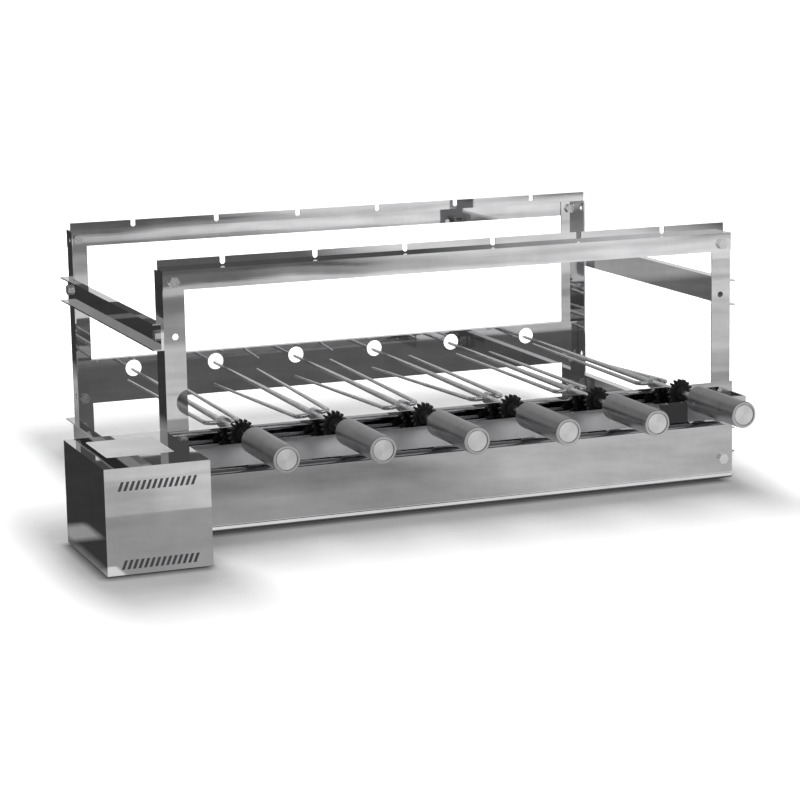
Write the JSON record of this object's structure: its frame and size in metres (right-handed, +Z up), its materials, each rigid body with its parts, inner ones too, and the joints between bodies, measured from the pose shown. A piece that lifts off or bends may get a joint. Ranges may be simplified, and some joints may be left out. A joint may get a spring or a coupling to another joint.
{
  "type": "electric skewer grill frame",
  "caption": "Folded stainless frame that carries forked skewers side by side; a motor box at the left turns them all through one long worm shaft in a front channel.",
  "frame": {"origin": "middle of the footprint of the whole part, on the floor it stands on", "axes": "+X along the row of skewers from the motor box to the free end, +Y from the handles to the rear panel, +Z up"},
  "size_m": [0.781, 0.6334, 0.257],
  "materials": {
    "mirror_sheet": "mirror-polished folded stainless sheet",
    "bright_rod": "bright drawn rod",
    "satin_steel": "satin tube, concentric brushing on the ends",
    "black_plastic": "moulded black, half gloss",
    "painted_motor": "grey paint",
    "cast_aluminium": "as cast",
    "switch_plastic": "matt black",
    "sintered_metal": "sintered iron",
    "bolt_steel": "bright zinc",
    "shaft_steel": "ground steel"
  },
  "bodies": {
    "stand": {"motor_box": "mirror_sheet", "motor_box_base": "mirror_sheet", "gear_motor": "painted_motor", "gearbox": "cast_aluminium", "cord_gland": "switch_plastic", "switch_frame": "switch_plastic", "front_cover": "mirror_sheet", "cover_end_left": "mirror_sheet", "cover_end_right": "mirror_sheet", "drive_channel": "mirror_sheet", "front_post_left": "mirror_sheet", "front_post_right": "mirror_sheet", "rear_post_left": "mirror_sheet", "rear_post_right": "mirror_sheet", "front_rail": "mirror_sheet", "rear_rail": "mirror_sheet", "upper_crossbar_left": "mirror_sheet", "upper_crossbar_right": "mirror_sheet", "lower_crossbar_left": "mirror_sheet", "lower_crossbar_right": "mirror_sheet", "rear_panel": "mirror_sheet", "shaft_bushes": "sintered_metal", "hex_bolts": "bolt_steel", "hex_nuts": "bolt_steel"},
    "drive": {"drive_shaft": "shaft_steel", "output_shaft": "shaft_steel", "shaft_coupling": "shaft_steel", "drive_worms": "black_plastic"},
    "rocker": {"switch_rocker": "switch_plastic"},
    "skewer_1": {"skewer_1": "bright_rod", "handle_1": "satin_steel", "end_cap_1": "satin_steel", "wheel_1": "black_plastic"},
    "skewer_2": {"skewer_2": "bright_rod", "handle_2": "satin_steel", "end_cap_2": "satin_steel", "wheel_2": "black_plastic"},
    "skewer_3": {"skewer_3": "bright_rod", "handle_3": "satin_steel", "end_cap_3": "satin_steel", "wheel_3": "black_plastic"},
    "skewer_4": {"skewer_4": "bright_rod", "handle_4": "satin_steel", "end_cap_4": "satin_steel", "wheel_4": "black_plastic"},
    "skewer_5": {"skewer_5": "bright_rod", "handle_5": "satin_steel", "end_cap_5": "satin_steel", "wheel_5": "black_plastic"},
    "skewer_6": {"skewer_6": "bright_rod", "handle_6": "satin_steel", "end_cap_6": "satin_steel", "wheel_6": "black_plastic"}
  },
  "joints": [
    {"name": "drive_turn", "type": "hinge", "parent": "stand", "child": "drive", "pos_m": [0, -0.10535, 0.0587], "axis": [1, 0, 0], "continuous": true},
    {"name": "skewer_1_turn", "type": "hinge", "parent": "stand", "child": "skewer_1", "pos_m": [-0.1915, -0.10535, 0.0795], "axis": [0, 1, 0], "continuous": true},
    {"name": "skewer_2_turn", "type": "hinge", "parent": "stand", "child": "skewer_2", "pos_m": [-0.0915, -0.10535, 0.0795], "axis": [0, 1, 0], "continuous": true},
    {"name": "skewer_3_turn", "type": "hinge", "parent": "stand", "child": "skewer_3", "pos_m": [0.0085, -0.10535, 0.0795], "axis": [0, 1, 0], "continuous": true},
    {"name": "skewer_4_turn", "type": "hinge", "parent": "stand", "child": "skewer_4", "pos_m": [0.1085, -0.10535, 0.0795], "axis": [0, 1, 0], "continuous": true},
    {"name": "skewer_5_turn", "type": "hinge", "parent": "stand", "child": "skewer_5", "pos_m": [0.2085, -0.10535, 0.0795], "axis": [0, 1, 0], "continuous": true},
    {"name": "skewer_6_turn", "type": "hinge", "parent": "stand", "child": "skewer_6", "pos_m": [0.3085, -0.10535, 0.0795], "axis": [0, 1, 0], "continuous": true},
    {"name": "switch_rock", "type": "hinge", "parent": "stand", "child": "rocker", "pos_m": [-0.2887, -0.25545, 0.06], "axis": [0, 1, 0], "range_deg": [-16, 0]}
  ],
  "couplings": [
    {"joint": "skewer_1_turn", "follows": "drive_turn", "ratio": 0.0625},
    {"joint": "skewer_2_turn", "follows": "drive_turn", "ratio": 0.0625},
    {"joint": "skewer_3_turn", "follows": "drive_turn", "ratio": 0.0625},
    {"joint": "skewer_4_turn", "follows": "drive_turn", "ratio": 0.0625},
    {"joint": "skewer_5_turn", "follows": "drive_turn", "ratio": 0.0625},
    {"joint": "skewer_6_turn", "follows": "drive_turn", "ratio": 0.0625}
  ]
}
